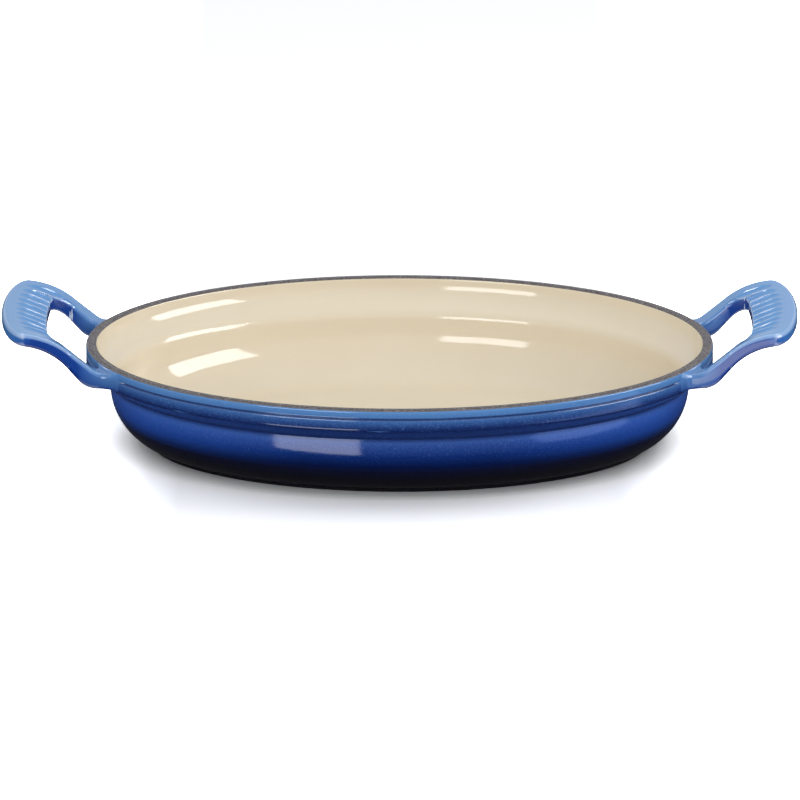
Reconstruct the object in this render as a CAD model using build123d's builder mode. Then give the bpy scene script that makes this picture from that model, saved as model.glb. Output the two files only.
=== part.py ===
from build123d import *
import os
from math import acos, asin, atan2, cos, degrees, hypot, radians, sin, sqrt, tan

# Oval gratin dish of enamelled cast iron, in millimetres.
# X runs from handle to handle, Y across the dish, Z up from the table.
# The origin lies on the table under the middle of the dish.

# The oval, measured over the collar, and the height of its rim
collar_length = 320.0
collar_width = 227.0
rim_height = 53.5

# Glassy coats fused to the iron on every side
coat = 0.4

# Flat rim with its dark band between the two colours
rim_width = 5.2
rim_round = 0.9
rim_band_outer = 0.9
rim_band_inner = 4.3

# Collar outside the rim: two beads with a groove between them, over a slanted cove
upper_bead_height = 3.9
groove_height = 1.0
groove_depth = 0.9
collar_height = 10.4
upper_bead_round = 1.2
lower_bead_round = 2.0
cove_width = 12.0
cove_drop = 8.2
crease_round = 1.2

# Wall under the cove, which turns in to the foot
wall_draft = 3.0
bend_drop = 21.5
bend_radius = 32.6

# Inside of the dish: throat, shoulder over the cove, wall, bend and floor
throat_draft = 0.6
throat_drop = 9.0
throat_round = 3.0
shoulder_drop = 16.5
shoulder_width = 10.0
shoulder_round = 3.0
inner_bend_radius = 26.5
floor_height = 5.6

# Foot ring that the dish stands on, and the shallow recess inside it
foot_inset = 32.8
foot_width = 6.0
foot_recess = 1.6
foot_round = 0.6

# Rim band and foot stand proud by this as cast and are then ground flat
grinding = 0.3

# Where the swept wall hands over to the flat middle of the floor
plate_inset = 60.0
plate_lap = 8.0

# Loop handles: plan outline and finger hole
handle_width = 93.6
nose_start = 190.0
nose_length = 12.8
hole_width = 73.4
hole_end = 179.8
hole_bow = 1.2
hole_corner = 11.0
hole_bow_round = 60.0
web_radius = 5.0
web_seat = 1.6
root_start = 128.0

# Handles seen from the side: a flat root, a slanted neck and a crowned grip
root_top_drop = 2.2
root_bottom_drop = 10.2
neck_angle_top = 40.0
neck_angle_bottom = 50.0
grip_crown = 199.0
grip_rise = 19.3
grip_thickness = 6.9
crown_radius = 40.0
neck_round_top = 9.0
neck_round_bottom = 12.0
handle_edge_round = 2.2
contour_radius = 198.0
contour_half_angle = 24.0

# Finger flutes across the top of each grip
flute_count = 10
flute_pitch = 7.7
flute_depth = 1.3
flute_bed_radius = 150.0
flute_mouth_depth = 1.7
flute_border = 7.0
flute_run_out = 9.0
last_flute_setback = 5.3

# Every cutting shape runs this far past what it cuts
overrun = 5.0

# Values worked out from the sizes above
half_length = collar_length / 2
half_width = collar_width / 2
half_handle = handle_width / 2
handle_tip = nose_start + nose_length
crease_height = rim_height - collar_height - cove_drop
bend_height = rim_height - bend_drop
bend_start_height = bend_height - bend_radius * sin(radians(wall_draft))
bend_start_inset = cove_width + (crease_height - bend_start_height) * tan(radians(wall_draft))
bend_centre_inset = bend_start_inset + bend_radius * cos(radians(wall_draft))
foot_angle = degrees(acos((bend_centre_inset - foot_inset) / bend_radius))
base_coat_top = foot_recess + 2 * coat
flute_radius = (flute_pitch**2 / 4 + flute_depth**2) / (2 * flute_depth)


def section_point(inset, height):
    """Point of the wall section, counted inwards from the collar and up from the table."""
    return (half_length - inset, height)


def bend_point(angle):
    """Point on the outer bend, by its angle below the horizontal."""
    inset = bend_centre_inset - bend_radius * cos(radians(angle))
    return section_point(inset, bend_height - bend_radius * sin(radians(angle)))


def wall_section():
    """Section through rim, collar, wall, foot and floor edge, coats included."""
    top = rim_height
    cut_inset = plate_inset + plate_lap
    throat_inset = rim_width + throat_draft
    wall_inset = throat_inset + shoulder_width
    wall_foot_inset = wall_inset + (top - shoulder_drop - floor_height) * tan(radians(wall_draft))
    groove_top = top - upper_bead_height
    groove_bottom = groove_top - groove_height
    with BuildSketch() as section:
        with BuildLine():
            bend_middle = bend_point((foot_angle + wall_draft) / 2)
            ThreePointArc(bend_point(foot_angle), bend_middle, bend_point(wall_draft))
            FilletPolyline(
                bend_point(wall_draft),
                section_point(cove_width, crease_height),
                section_point(0, top - collar_height),
                section_point(0, groove_bottom),
                section_point(groove_depth, (groove_top + groove_bottom) / 2),
                section_point(0, groove_top),
                section_point(0, top),
                section_point(rim_width, top),
                section_point(throat_inset, top - throat_drop),
                section_point(wall_inset, top - shoulder_drop),
                section_point(wall_foot_inset, floor_height),
                section_point(cut_inset, floor_height),
                radius=[
                    crease_round,
                    lower_bead_round,
                    upper_bead_round,
                    0,
                    upper_bead_round,
                    rim_round,
                    rim_round,
                    throat_round,
                    shoulder_round,
                    inner_bend_radius,
                ],
            )
            FilletPolyline(
                section_point(cut_inset, floor_height),
                section_point(cut_inset, foot_recess),
                section_point(foot_inset + foot_width, foot_recess),
                section_point(foot_inset + foot_width, 0),
                section_point(foot_inset, 0),
                bend_point(foot_angle),
                radius=[0, foot_round, foot_round, foot_round],
            )
        make_face()
    return section.sketch


def band(inset_low, inset_high, height_low, height_high):
    """Rectangle of the section between two insets and two heights."""
    with BuildSketch() as strip:
        with Locations(section_point(inset_high, height_low)):
            Rectangle(inset_high - inset_low, height_high - height_low, align=(Align.MIN, Align.MIN))
    return strip.sketch


def iron_section():
    """The wall section without its coats."""
    with BuildSketch() as section:
        add(wall_section())
        offset(amount=-coat)
    return section.sketch


def coat_section(side):
    """The coat on one side of the iron: rim, foot, inside or outside."""
    rim_zone = band(rim_band_outer, rim_band_inner, rim_height - 2 * coat, rim_height + overrun)
    foot_zone = band(foot_inset - overrun, plate_inset + plate_lap, -overrun, base_coat_top)
    with BuildSketch() as coats:
        add(wall_section())
        add(iron_section(), mode=Mode.SUBTRACT)
        add(band(plate_inset, plate_inset + plate_lap + overrun, -overrun, rim_height), mode=Mode.SUBTRACT)
        if side == "rim":
            add(rim_zone, mode=Mode.INTERSECT)
            add(band(rim_band_outer, rim_band_inner, rim_height - coat, rim_height + grinding))
        elif side == "foot":
            add(foot_zone, mode=Mode.INTERSECT)
            add(band(foot_inset + foot_round, foot_inset + foot_width - foot_round, -grinding, coat))
        else:
            add(rim_zone, mode=Mode.SUBTRACT)
            add(foot_zone, mode=Mode.SUBTRACT)
    faces_outwards = coats.sketch.faces().sort_by(Axis.X)
    if side == "inside":
        return faces_outwards[0]
    if side == "outside":
        return faces_outwards[-1]
    return coats.sketch


def trimmed(section):
    """A section cut back to where the flat middle of the floor takes over."""
    with BuildSketch() as kept:
        add(section)
        add(band(plate_inset, plate_inset + plate_lap + overrun, -overrun, rim_height), mode=Mode.SUBTRACT)
    return kept.sketch


def oval_path():
    """The line round the collar that every wall section follows."""
    with BuildLine() as path:
        EllipticalCenterArc((0, 0), half_length, half_width, start_angle=0, arc_size=360)
    return path.wires()[0]


def floor_oval(height):
    """Oval on a level plane that overlaps the inner edge of the swept wall."""
    with BuildSketch(Plane.XY.offset(height)) as oval:
        Ellipse(half_length - plate_inset + plate_lap, half_width - plate_inset + plate_lap)
    return oval.sketch


def handle_plan(inset):
    """Right handle seen from above: loop, finger hole and webs into the collar."""
    outer = half_handle - inset
    hole_half = hole_width / 2 + inset
    hole_far = hole_end + inset
    seat = web_seat + inset
    with BuildSketch() as plan:
        with BuildLine():
            Line((0, -outer), (nose_start, -outer))
            EllipticalCenterArc((nose_start, 0), nose_length - inset, outer, start_angle=-90, arc_size=180)
            Line((nose_start, outer), (0, outer))
            Line((0, outer), (0, -outer))
        make_face()
        with BuildLine():
            FilletPolyline(
                (0, -hole_half),
                (hole_far - hole_bow, -hole_half),
                (hole_far, 0),
                (hole_far - hole_bow, hole_half),
                (0, hole_half),
                radius=[0, hole_corner + inset, hole_bow_round, hole_corner + inset, 0],
                close=True,
            )
        make_face(mode=Mode.SUBTRACT)
        Ellipse(half_length - seat, half_width - seat)
        roots = plan.vertices().filter_by(lambda v: root_start < v.X < half_length - web_seat - overrun)
        fillet(roots, radius=web_radius + inset)
        with Locations((root_start, 0)):
            Rectangle(half_length, collar_width, align=(Align.MIN, Align.CENTER), mode=Mode.INTERSECT)
    return plan.sketch


def crown_point(radius, angle):
    """Point on a crown arc of the grip, by its angle back from the top."""
    centre_height = rim_height + grip_rise - crown_radius
    return (grip_crown - radius * sin(radians(angle)), centre_height + radius * cos(radians(angle)))


def neck_corner(start, angle, level):
    """Where a neck line that leaves a crown arc meets the level of the root."""
    return (start[0] - (start[1] - level) / tan(radians(angle)), level)


def handle_side(inset):
    """Handle seen from the side, from the root in the collar to past the tip."""
    under_radius = crown_radius - grip_thickness
    tip_angle = -degrees(asin((handle_tip + overrun - grip_crown) / under_radius))
    top_level = rim_height - root_top_drop
    bottom_level = rim_height - root_bottom_drop
    top_start = crown_point(crown_radius, neck_angle_top)
    bottom_start = crown_point(under_radius, neck_angle_bottom)
    top_middle = crown_point(crown_radius, (neck_angle_top + tip_angle) / 2)
    bottom_middle = crown_point(under_radius, (neck_angle_bottom + tip_angle) / 2)
    with BuildSketch() as side:
        with BuildLine():
            ThreePointArc(crown_point(crown_radius, tip_angle), top_middle, top_start)
            FilletPolyline(
                top_start,
                neck_corner(top_start, neck_angle_top, top_level),
                (root_start, top_level),
                radius=neck_round_top,
            )
            Line((root_start, top_level), (root_start, bottom_level))
            FilletPolyline(
                (root_start, bottom_level),
                neck_corner(bottom_start, neck_angle_bottom, bottom_level),
                bottom_start,
                radius=neck_round_bottom,
            )
            ThreePointArc(bottom_start, bottom_middle, crown_point(under_radius, tip_angle))
            Line(crown_point(under_radius, tip_angle), crown_point(crown_radius, tip_angle))
        make_face()
        if inset > 0:
            offset(amount=-inset)
    return side.sketch


def handle_outline_at(row):
    """How far out the handle reaches at a distance from its middle line."""
    return nose_start + nose_length * sqrt(1 - (row / half_handle) ** 2)


def crown_height_at(place):
    """Height of the grip's top surface above the table at a distance from the middle."""
    return rim_height + grip_rise - crown_radius + sqrt(crown_radius**2 - (grip_crown - place) ** 2)


def flute_cutter(number, inset):
    """Bent round bar that hollows one finger flute, from the border to the finger hole."""
    row = (number - (flute_count - 1) / 2) * flute_pitch
    contour_shift = row**2 / (2 * contour_radius)
    last = number in (0, flute_count - 1)
    end_x = handle_outline_at(row) - flute_border
    end_z = crown_height_at(end_x + contour_shift)
    mouth_x = hole_end - contour_shift - (last_flute_setback if last else 0)
    mouth_z = crown_height_at(mouth_x + contour_shift) - (0 if last else flute_mouth_depth)
    chord = hypot(end_x - mouth_x, end_z - mouth_z)
    rise = sqrt(flute_bed_radius**2 - chord**2 / 4) / chord
    centre_x = (end_x + mouth_x) / 2 + (end_z - mouth_z) * rise
    centre_z = (end_z + mouth_z) / 2 - (end_x - mouth_x) * rise
    run_out = degrees(flute_run_out / flute_bed_radius)
    end_angle = degrees(atan2(end_x - centre_x, end_z - centre_z)) + run_out
    mouth_angle = degrees(atan2(mouth_x - centre_x, mouth_z - centre_z)) - run_out
    start = Plane(
        origin=(centre_x, 0, centre_z),
        x_dir=(0, 1, 0),
        z_dir=(cos(radians(mouth_angle)), 0, -sin(radians(mouth_angle))),
    )
    with BuildPart() as cutter:
        with BuildSketch(start):
            with Locations((row, flute_bed_radius + flute_radius)):
                Circle(flute_radius + inset)
        revolve(axis=Axis((centre_x, 0, centre_z), (0, 1, 0)), revolution_arc=end_angle - mouth_angle)
    return cutter.part


def handle_form(inset):
    """Right handle with its collar root, drawn in by the thickness of a coat."""
    turn = radians(contour_half_angle)
    axis_x = hole_end - contour_radius
    side_plane = Plane(
        origin=(axis_x, 0, 0),
        x_dir=(cos(turn), -sin(turn), 0),
        z_dir=(-sin(turn), -cos(turn), 0),
    )
    with BuildPart() as form:
        with BuildSketch(Plane.XY):
            add(handle_plan(inset))
        extrude(amount=rim_height + grip_rise + overrun)
        with BuildSketch(side_plane):
            with Locations((-axis_x, 0)):
                add(handle_side(inset))
        upright_axis = Axis((axis_x, 0, 0), (0, 0, 1))
        revolve(axis=upright_axis, revolution_arc=2 * contour_half_angle, mode=Mode.INTERSECT)
        upright = form.faces().filter_by(lambda f: abs(f.normal_at().Z) < 0.01)
        walls = upright.filter_by(lambda f: f.center().X > root_start + overrun)
        rims = walls.edges().filter_by(lambda e: abs(e.tangent_at(0.5).Z) < 0.95)
        fillet(rims, radius=handle_edge_round - inset)
        for number in range(flute_count):
            add(flute_cutter(number, inset), mode=Mode.SUBTRACT)
    return form.part


def swept_wall(section):
    """A wall section carried once round the oval of the dish."""
    with BuildPart() as wall:
        with BuildSketch(Plane.XZ):
            add(section)
        sweep(path=oval_path())
    return wall.part


def collar_plug():
    """Block that fills the mouth of the dish, for trimming the handle roots."""
    with BuildPart() as plug:
        with BuildSketch(Plane.XY.offset(crease_height)):
            Ellipse(half_length - rim_width / 2, half_width - rim_width / 2)
        extrude(amount=rim_height + grip_rise)
    return plug.part


# The whole dish and both handle shapes, which the pieces below are cut from
dish_shape = swept_wall(trimmed(wall_section()))
handle_shape = handle_form(0)
handle_core = handle_form(coat)
left_handle_core = mirror(handle_core, about=Plane.YZ)

# Cast iron bowl: rim, collar, wall, foot ring and floor
with BuildPart() as iron_bowl:
    add(swept_wall(trimmed(iron_section())))
    extrude(floor_oval(foot_recess + coat), amount=floor_height - foot_recess - 2 * coat)

# Cast iron loop handles
with BuildPart() as iron_handle_right:
    add(handle_core)
    add(iron_bowl.part, mode=Mode.SUBTRACT)
    add(collar_plug(), mode=Mode.SUBTRACT)

with BuildPart() as iron_handle_left:
    mirror(iron_handle_right.part, about=Plane.YZ)

# Sand coloured enamel on the cooking side
with BuildPart() as interior_enamel:
    add(swept_wall(coat_section("inside")))
    extrude(floor_oval(floor_height - coat), amount=coat)

# Blue enamel on the collar and wall, open where the handle iron leaves the collar
with BuildPart() as exterior_enamel:
    add(swept_wall(coat_section("outside")))
    add(handle_core, mode=Mode.SUBTRACT)
    add(left_handle_core, mode=Mode.SUBTRACT)

# Blue enamel that wraps each handle
with BuildPart() as handle_enamel_right:
    add(handle_shape)
    add(handle_core, mode=Mode.SUBTRACT)
    add(dish_shape, mode=Mode.SUBTRACT)
    add(collar_plug(), mode=Mode.SUBTRACT)

with BuildPart() as handle_enamel_left:
    mirror(handle_enamel_right.part, about=Plane.YZ)

# Dark matt band along the top of the rim, ground flat
with BuildPart() as rim_enamel:
    add(swept_wall(coat_section("rim")))
    split(bisect_by=Plane.XY.offset(rim_height), keep=Keep.BOTTOM)

# Dark matt enamel over the foot ring and the underside, ground flat where the dish stands
with BuildPart() as base_enamel:
    add(swept_wall(coat_section("foot")))
    extrude(floor_oval(foot_recess), amount=coat)
    split(bisect_by=Plane.XY, keep=Keep.TOP)

# One file for each piece, named as the piece
os.makedirs("parts", exist_ok=True)
pieces = {
    "iron_bowl": iron_bowl,
    "iron_handle_right": iron_handle_right,
    "iron_handle_left": iron_handle_left,
    "interior_enamel": interior_enamel,
    "exterior_enamel": exterior_enamel,
    "handle_enamel_right": handle_enamel_right,
    "handle_enamel_left": handle_enamel_left,
    "rim_enamel": rim_enamel,
    "base_enamel": base_enamel,
}
for name, piece in pieces.items():
    piece.part.label = name
    export_step(piece.part, f"parts/{name}.step")
    print(name, round(piece.part.volume / 1000, 2), "cm3,", len(piece.part.solids()), "solid")
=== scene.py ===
# %% [markdown]
# # An oval gratin dish of enamelled cast iron
# The real dish is one iron casting under a skin of glass. The frame already holds the iron,
# so this lesson makes the skin: a blue coat outside, a sand coloured coat inside, a dark band
# on the rim, a dark foot, and the coat of each loop handle with its finger flutes.

# %% Frame
from math import asin, atan2, ceil, cos, hypot, pi, radians, sin, sqrt, tan

import bpy
from mathutils import Matrix, Vector


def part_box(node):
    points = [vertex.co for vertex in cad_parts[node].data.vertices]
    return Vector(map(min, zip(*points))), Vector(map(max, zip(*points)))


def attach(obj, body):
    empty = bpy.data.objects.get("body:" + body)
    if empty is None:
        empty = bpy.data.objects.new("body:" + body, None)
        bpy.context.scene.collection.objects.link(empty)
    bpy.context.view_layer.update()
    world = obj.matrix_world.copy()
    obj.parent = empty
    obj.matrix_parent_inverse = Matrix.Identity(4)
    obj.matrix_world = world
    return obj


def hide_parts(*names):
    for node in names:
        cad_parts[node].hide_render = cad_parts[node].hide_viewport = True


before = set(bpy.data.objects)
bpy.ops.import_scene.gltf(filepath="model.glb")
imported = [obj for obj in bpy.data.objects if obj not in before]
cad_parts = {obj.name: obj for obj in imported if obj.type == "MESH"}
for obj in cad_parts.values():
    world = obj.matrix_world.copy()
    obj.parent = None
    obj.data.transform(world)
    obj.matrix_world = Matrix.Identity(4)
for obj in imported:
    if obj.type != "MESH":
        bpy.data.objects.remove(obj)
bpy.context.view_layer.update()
mm = 0.001

# %% [markdown]
# The oval and its heights can be read from the frame's own pieces. Everything else is a real
# size of the casting, written once here and used by every piece that meets there.

# %% Sizes of the bowl
outside_low, outside_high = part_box("exterior_enamel")
half_length = outside_high.x
half_width = outside_high.y
rim_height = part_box("rim_enamel")[1].z

coat = 0.3 * mm
rim_width = 5.2 * mm
rim_round = 0.9 * mm
band_outer = 0.9 * mm
band_inner = 4.3 * mm
groove_top = rim_height - 3.9 * mm
groove_middle = groove_top - 0.5 * mm
groove_bottom = groove_top - 1.0 * mm
groove_depth = 0.9 * mm
upper_bead_round = 1.2 * mm
lower_bead_round = 2.0 * mm
collar_foot = rim_height - 10.4 * mm
cove_width = 12.0 * mm
cove_foot = collar_foot - 8.2 * mm
crease_round = 1.2 * mm
wall_draft = radians(3.0)
bend_height = rim_height - 21.5 * mm
bend_radius = 32.6 * mm
throat_inset = rim_width + 0.6 * mm
throat_foot = rim_height - 9.0 * mm
throat_round = 12.0 * mm
shoulder_inset = throat_inset + 10.3 * mm
shoulder_height = rim_height - 15.3 * mm
shoulder_round = 7.5 * mm
inner_bend_radius = 26.5 * mm
floor_height = 5.6 * mm
foot_inset = 32.8 * mm
foot_width = 6.0 * mm
foot_recess = 1.6 * mm
foot_round = 0.6 * mm
base_coat_top = 2.4 * mm
plate_inset = 60.0 * mm
print("collar in mm:", round(2 * half_length / mm, 1), "by", round(2 * half_width / mm, 1))

# %% [markdown]
# A section of the wall is a short list of corners, each with its own rounding, as a pattern
# maker draws it. The helper below turns the corners into points, with an arc at each one.

# %% Rounded outlines
arc_step = radians(9.0)


def arc_points(centre, start, end):
    """Points along the short arc from start to end about centre."""
    first, last = start - centre, end - centre
    turn = atan2(first.x * last.y - first.y * last.x, first.dot(last))
    count = max(2, ceil(abs(turn) / arc_step))
    return [centre + Matrix.Rotation(turn * k / count, 2) @ first for k in range(count + 1)]


def rounded(corners):
    """Points of an outline given as (inset, height, radius) corners."""
    spots = [Vector(corner[:2]) for corner in corners]
    points = [spots[0]]
    for before, here, after, corner in zip(spots, spots[1:], spots[2:], corners[1:]):
        radius = corner[2]
        if radius == 0:
            points.append(here)
            continue
        back = (before - here).normalized()
        ahead = (after - here).normalized()
        half = back.angle(ahead) / 2
        centre = here + (back + ahead).normalized() * radius / sin(half)
        reach = radius / tan(half)
        points += arc_points(centre, here + back * reach, here + ahead * reach)
    return points + [spots[-1]]


def spread(points, longest):
    """The same outline with its long straight runs divided."""
    dense = [points[0]]
    for start, end in zip(points, points[1:]):
        count = max(1, ceil((end - start).length / longest))
        dense += [start.lerp(end, k / count) for k in range(1, count + 1)]
    return dense


# %% [markdown]
# The wall keeps the same section all the way round, square to the collar. A scaled ellipse
# would make the ends too thin, so each ring follows the line that is parallel to the collar:
# every point steps inwards along the collar's own normal.

# %% Rings parallel to the collar
ring_count = 288


def collar_spot(angle, inset):
    """Point at a place round the collar, stepped inwards square to it."""
    normal = Vector((cos(angle) / half_length, sin(angle) / half_width)).normalized()
    return Vector((half_length * cos(angle), half_width * sin(angle))) - normal * inset


def ring(inset, height):
    """One closed ring of points at an inset and a height."""
    spots = (collar_spot(2 * pi * k / ring_count, inset) for k in range(ring_count))
    return [Vector((spot.x, spot.y, height)) for spot in spots]


# %% [markdown]
# Each skin starts as a circle primitive. Its edge is extruded ring by ring down the section,
# and every new ring is set to its place. One helper does this for all round pieces.

# %% Swept skins
import bmesh


def select_only(piece):
    """Makes a piece the only selected one, and the active one."""
    bpy.ops.object.select_all(action="DESELECT")
    piece.select_set(True)
    bpy.context.view_layer.objects.active = piece


def edit(piece):
    """Selects a piece alone and opens it for editing."""
    select_only(piece)
    bpy.ops.object.mode_set(mode="EDIT")
    return bmesh.from_edit_mesh(piece.data)


def place_selected(piece, spots):
    """Sets the selected vertices, in their order round the ring, to the given spots."""
    mesh = bmesh.from_edit_mesh(piece.data)
    chosen = [vertex for vertex in mesh.verts if vertex.select]
    for vertex, spot in zip(chosen, spots):
        vertex.co = spot
    bmesh.update_edit_mesh(piece.data)


def start_ring(name, spots):
    """A circle primitive named as the piece, opened with its points set to the first ring."""
    bpy.ops.object.select_all(action="DESELECT")
    bpy.ops.mesh.primitive_circle_add(vertices=len(spots), radius=half_length, location=(0, 0, 0))
    piece = bpy.context.object
    piece.name = name
    piece.data.name = name
    edit(piece)
    bpy.ops.mesh.select_all(action="SELECT")
    place_selected(piece, spots)
    return piece


def add_ring(piece, spots):
    """Extrudes the selected ring once and sets the new ring to its spots."""
    bpy.ops.mesh.extrude_edges_move()
    place_selected(piece, spots)


def finish_piece(piece, slot_name, *nodes):
    """Smooth shading, the body it rides on, and hides the frame's pieces that it stands for."""
    select_only(piece)
    bpy.ops.object.shade_smooth()
    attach(piece, "root")
    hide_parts(*nodes)
    print(piece.name, len(piece.data.polygons), "faces")


def swept_skin(name, outline, closed_middle=False):
    """A skin swept round the collar from an outline of insets and heights."""
    rings = [ring(point.x, point.y) for point in outline]
    piece = start_ring(name, rings[0])
    for spots in rings[1:]:
        add_ring(piece, spots)
    if closed_middle:
        last = rings[-1]
        for share in middle_shares:
            add_ring(piece, [Vector((spot.x * share, spot.y * share, spot.z)) for spot in last])
        bpy.ops.mesh.merge(type="CENTER")
    bpy.ops.object.mode_set(mode="OBJECT")
    return piece


def thicken(piece, towards):
    """Gives a skin its thickness on the iron's side and closes its edges."""
    shell = piece.modifiers.new("coat", "SOLIDIFY")
    shell.thickness = coat
    shell.offset = towards
    shell.use_quality_normals = True
    select_only(piece)
    bpy.ops.object.modifier_apply(modifier=shell.name)


middle_shares = (0.8, 0.6, 0.4, 0.2, 0.08)

# %% [markdown]
# ## Blue coat of the bowl
# Two rounded beads with a groove between them make the collar. Under it the casting steps in
# by a slanted cove, and the wall then bends in to the foot. These are crisp rounded corners
# between plain runs, so the corner list is all the shape needs.

# %% Blue coat of the bowl
bend_start_height = bend_height - bend_radius * sin(wall_draft)
bend_start_inset = cove_width + (cove_foot - bend_start_height) * tan(wall_draft)
bend_centre = Vector((bend_start_inset + bend_radius * cos(wall_draft), bend_height))
base_angle = asin((bend_height - base_coat_top) / bend_radius)


def bend_point(angle):
    """Point of the outer bend by its angle below the horizontal."""
    return bend_centre + Vector((-cos(angle), -sin(angle))) * bend_radius


bend_steps = 22
bend_start = bend_point(wall_draft)
collar_outline = rounded([
    (band_outer, rim_height, 0),
    (0, rim_height, rim_round),
    (0, groove_top, upper_bead_round),
    (groove_depth, groove_middle, 0),
    (0, groove_bottom, upper_bead_round),
    (0, collar_foot, lower_bead_round),
    (cove_width, cove_foot, crease_round),
    (bend_start.x, bend_start.y, 0),
])
bend_outline = [
    bend_point(wall_draft + (base_angle - wall_draft) * k / bend_steps)
    for k in range(1, bend_steps + 1)
]
under_band = rim_height - 0.12 * mm
blue_outline = [spot for spot in spread(collar_outline, 2 * mm) if spot.y < under_band]
blue_outline += bend_outline
bowl_outside = swept_skin("blue_bowl_coat", blue_outline)
thicken(bowl_outside, 1)
finish_piece(bowl_outside, "blue_enamel", "exterior_enamel")

# %% [markdown]
# ## Sand coloured coat
# The cooking side drops straight from the rim, steps in over the cove, and rounds into a flat
# floor. The outline goes on to the middle of the floor, where the rings close in one point.

# %% Sand coloured coat
wall_foot_inset = shoulder_inset + (shoulder_height - floor_height) * tan(wall_draft)
inside_outline = rounded([
    (band_inner, rim_height, 0),
    (rim_width, rim_height, rim_round),
    (throat_inset, throat_foot, throat_round),
    (shoulder_inset, shoulder_height, shoulder_round),
    (wall_foot_inset, floor_height, inner_bend_radius),
    (plate_inset, floor_height, 0),
])
under_lap = rim_height - 0.3 * mm
sand_outline = [spot for spot in spread(inside_outline, 2.5 * mm) if spot.y < under_lap]
bowl_inside = swept_skin("sand_bowl_coat", sand_outline, closed_middle=True)
thicken(bowl_inside, 1)
finish_piece(bowl_inside, "sand_enamel", "interior_enamel")

# %% [markdown]
# ## Dark rim band and dark foot
# Where the two colours would meet, a band of dark ground coat is left bare. It has a narrow
# crown between two lower sides and laps over the ends of both colours. The same coat covers
# the ring the dish stands on and the shallow recess inside the ring.

# %% Dark rim band and dark foot
crown_drop = 0.28 * mm
crown_outer = 2.0 * mm
crown_inner = 3.4 * mm
band_lap = 0.05 * mm
edge_centre = Vector((rim_width - rim_round, rim_height - rim_round))
lap_turns = [radians(90 - 8 * k) for k in range(8)]
lap_radius = rim_round + band_lap
lap_top = rim_height - crown_drop / 2
band_over_edge = [edge_centre + Vector((cos(t), sin(t))) * lap_radius for t in lap_turns]
band_over_edge = [Vector((spot.x, min(spot.y, lap_top))) for spot in band_over_edge]
rim_outline = rounded([
    (band_outer - 0.4 * mm, rim_height - coat, 0),
    (band_outer - 0.3 * mm, rim_height - crown_drop / 2, 0),
    (crown_outer - 0.5 * mm, rim_height - crown_drop, 0.6 * mm),
    (crown_outer, rim_height, 0.4 * mm),
    (crown_inner, rim_height, 0.4 * mm),
    (crown_inner + 0.5 * mm, rim_height - crown_drop, 0.6 * mm),
    (edge_centre.x, rim_height - crown_drop / 2, 0),
]) + band_over_edge[1:]
rim_band = swept_skin("dark_rim_band", spread(rim_outline, 0.5 * mm))
foot_outline = [bend_point(base_angle)] + rounded([
    (foot_inset, bend_height - sqrt(bend_radius**2 - (bend_centre.x - foot_inset)**2), 0),
    (foot_inset, 0, foot_round),
    (foot_inset + foot_width, 0, foot_round),
    (foot_inset + foot_width, foot_recess, foot_round),
    (plate_inset, foot_recess, 0),
])
dark_foot = swept_skin("dark_foot_coat", spread(foot_outline, 2 * mm), closed_middle=True)
thicken(rim_band, 1)
thicken(dark_foot, 1)
finish_piece(rim_band, "dark_enamel", "rim_enamel")
finish_piece(dark_foot, "dark_enamel", "base_enamel")

# %% [markdown]
# ## Loop handles
# Each handle is a bar that leaves the collar level, climbs a slanted neck and ends in a broad
# crowned grip. Two outlines give its plan, one round the outside and one round the finger
# hole, and two curves give its top and underside. Ten finger flutes run across the grip.

# %% Sizes of the handles
half_handle = 46.8 * mm
nose_start = 190.0 * mm
nose_length = 12.79 * mm
hole_half = 36.7 * mm
hole_end = 179.8 * mm
hole_bow = 1.2 * mm
hole_corner = 11.0 * mm
web_radius = 5.0 * mm
root_top = rim_height - 2.2 * mm
root_bottom = rim_height - 10.2 * mm
neck_angle_top = radians(40.0)
neck_angle_bottom = radians(50.0)
grip_crown = 199.0 * mm
grip_thickness = 6.9 * mm
crown_radius = 40.0 * mm
crown_centre = rim_height + 19.3 * mm - crown_radius
neck_round_top = 9.0 * mm
neck_round_bottom = 12.0 * mm
edge_round = 2.2 * mm
contour_radius = 198.0 * mm
contour_centre = hole_end - contour_radius
flute_count = 10
flute_pitch = 7.7 * mm
flute_depth = 1.3 * mm
flute_bed_radius = 150.0 * mm
flute_mouth_depth = 1.7 * mm
flute_border = 7.0 * mm
last_flute_setback = 5.3 * mm
flute_radius = (flute_pitch**2 / 4 + flute_depth**2) / (2 * flute_depth)
handle_tip = nose_start + nose_length
print("handle in mm:", round(2 * half_handle / mm, 1), "wide, tip at", round(handle_tip / mm, 1))

# %% [markdown]
# The side view has a level root, a slanted neck and a crowned grip. The same formula serves
# the top and the underside, with other radii and angles.

# %% Side view of a handle


def neck_height(reach, radius, angle, level, fillet):
    """Height of a handle surface at a distance out from the middle of the dish."""
    start_x = grip_crown - radius * sin(angle)
    start_z = crown_centre + radius * cos(angle)
    if reach >= start_x:
        return crown_centre + sqrt(radius**2 - (reach - grip_crown) ** 2)
    corner = start_x - (start_z - level) / tan(angle)
    lap = fillet * tan(angle / 2)
    if reach <= corner - lap:
        return level
    if reach >= corner + lap * cos(angle):
        return level + (reach - corner) * tan(angle)
    return level + fillet - sqrt(fillet**2 - (reach - corner + lap) ** 2)


def contour_reach(spot):
    """Distance out from the middle, along the bowed contour that the grip follows."""
    return hypot(spot.x - contour_centre, spot.y) + contour_centre


def top_height(spot):
    """Height of the smooth top of the handle."""
    return neck_height(contour_reach(spot), crown_radius, neck_angle_top, root_top, neck_round_top)


def under_height(spot):
    """Height of the underside of the handle."""
    reach = contour_reach(spot)
    inner_radius = crown_radius - grip_thickness
    return neck_height(reach, inner_radius, neck_angle_bottom, root_bottom, neck_round_bottom)


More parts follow.
